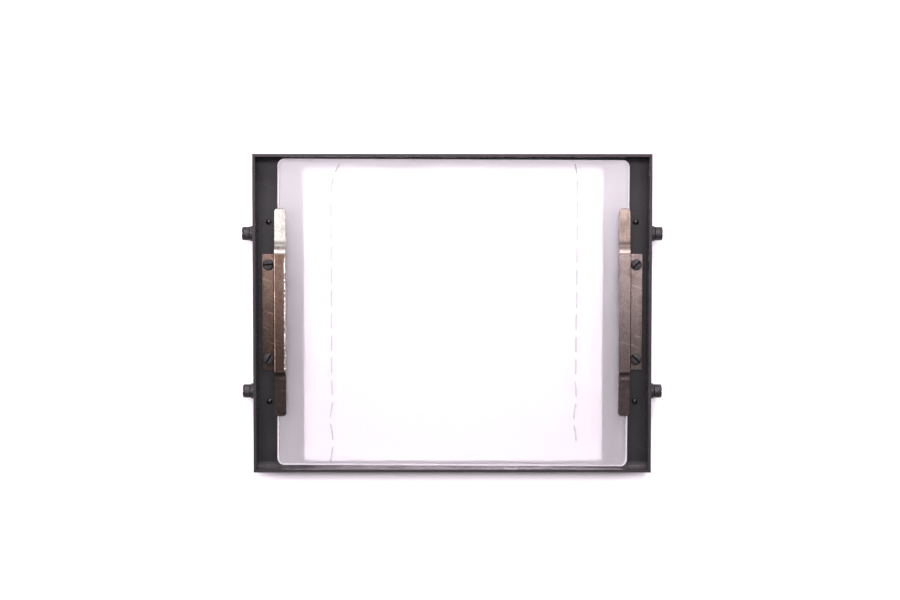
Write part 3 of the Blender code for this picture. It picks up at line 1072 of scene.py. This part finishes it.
def floor():
    half = STAGE_HALF
    shape = bmesh.new()
    corners = ((-half, -half), (half, -half), (half, half), (-half, half))
    shape.faces.new([shape.verts.new((x, y, 0)) for x, y in corners])
    mesh = bpy.data.meshes.new("floor")
    shape.to_mesh(mesh)
    shape.free()
    mesh.materials.append(floor_material())
    made = bpy.data.objects.new("floor", mesh)
    made.location.z = CAD_LOW.z - STAGE_GAP
    bpy.context.scene.collection.objects.link(made)


def softbox(name, place, size, watts, colour=(1, 1, 1)):
    """A flat lamp that faces down."""
    light = bpy.data.lights.new(name, "AREA")
    light.shape = "RECTANGLE"
    light.size, light.size_y = size
    light.energy = watts
    light.color = colour
    made = bpy.data.objects.new(name, light)
    made.location = place
    made.visible_camera = False
    bpy.context.scene.collection.objects.link(made)
    return made


def lights():
    """A key over the rear, a fill far above, and smaller lights low down on every side."""
    softbox("key", (0, 0.17, 0.635), (0.7, 0.24), 4.7, KEY_TINT)
    fill = softbox("fill", (0, -0.1, 1.5), (1.5, 1.5), 3.8, FILL_TINT)
    fill.visible_glossy = False
    for name, place, size, watts in (
        ("rear", (0, 0.64, 0.46), (0.7, 0.26), 8.0),
        ("left", (-0.57, 0.12, 0.42), (0.34, 0.34), 3.1),
        ("right", (0.6, 0.12, 0.4), (0.34, 0.34), 2.2),
        ("front", (0.0, -0.42, 0.6), (0.7, 0.12), 0.5),
    ):
        light = softbox(name, place, size, watts, KEY_TINT)
        light.rotation_euler = (-light.location).to_track_quat("-Z", "Y").to_euler()
    glint = softbox("glint", (-0.6, 0.0, 0.18), (0.14, 0.6), 2.5, KEY_TINT)
    glint.rotation_euler = (-glint.location).to_track_quat("-Z", "Y").to_euler()
    glint.visible_diffuse = False
    glint.visible_transmission = False
    world = bpy.data.worlds.new("room")
    world.use_nodes = True
    background = world.node_tree.nodes["Background"]
    background.inputs["Color"].default_value = (*FILL_TINT, 1)
    background.inputs["Strength"].default_value = 0.1
    bpy.context.scene.world = world


def camera():
    data = bpy.data.cameras.new("camera")
    data.lens = CAMERA_LENS
    data.clip_start = 0.01
    data.clip_end = 20
    made = bpy.data.objects.new("camera", data)
    made.location = CAMERA_PLACE
    made.rotation_mode = "ZYX"
    made.rotation_euler = [math.radians(angle) for angle in CAMERA_TILT]
    bpy.context.scene.collection.objects.link(made)
    bpy.context.scene.camera = made
    bpy.context.scene.view_settings.view_transform = "Standard"


def main():
    camera()
    lights()
    floor()
    enamel = enamel_material()
    steel = steel_material()
    # The screws' second finish is painted shade for their slots.
    slotted = [steel, slot_shade_material()]
    rivet = rivet_material()
    # The last number of each leaf's metal is its share of painted shade at the front.
    springs = {
        "left": spring_material(
            "spring_left", (0.072, 0.049, 0.037), (0.142, 0.102, 0.079), 0.29, 0.66
        ),
        "right": spring_material(
            "spring_right", (0.128, 0.104, 0.091), (0.212, 0.179, 0.158), 0.31, 0.72
        ),
    }
    # Lit and shaded copies of the spring metal: the rear fingers are painted lighter, as the light
    # falls on them from the rear, and the front fingers darker, as painted shade.
    fingers = {
        "left_rear": spring_material(
            "spring_painted_lit_left_rear", (0.148, 0.148, 0.129), (0.176, 0.178, 0.156), 0.28
        ),
        "right_rear": spring_material(
            "spring_painted_lit_right_rear", (0.088, 0.071, 0.058), (0.132, 0.108, 0.09), 0.33
        ),
        "left_front": spring_material(
            "spring_painted_shade_left_front", (0.062, 0.048, 0.041), (0.106, 0.084, 0.073), 0.30
        ),
        "right_front": spring_material(
            "spring_painted_shade_right_front", (0.106, 0.083, 0.074), (0.172, 0.139, 0.127), 0.30
        ),
    }
    tray_sheet(enamel)
    pressure_glass([glass_material(), etched_material(), ground_material()])
    painted_seam_reflection(seam_reflection_material())
    for side, x_sign in SIDES.items():
        end_wall(side, x_sign, enamel)
        leaf_clip(side, x_sign, springs[side])
        for end, y_sign in ENDS.items():
            leaf_finger(side, end, y_sign, fingers[f"{side}_{end}"])
            clip_screw(side, end, slotted)
            dome_rivet(side, end, rivet)
            guide(side, end, x_sign, steel, slotted)


main()
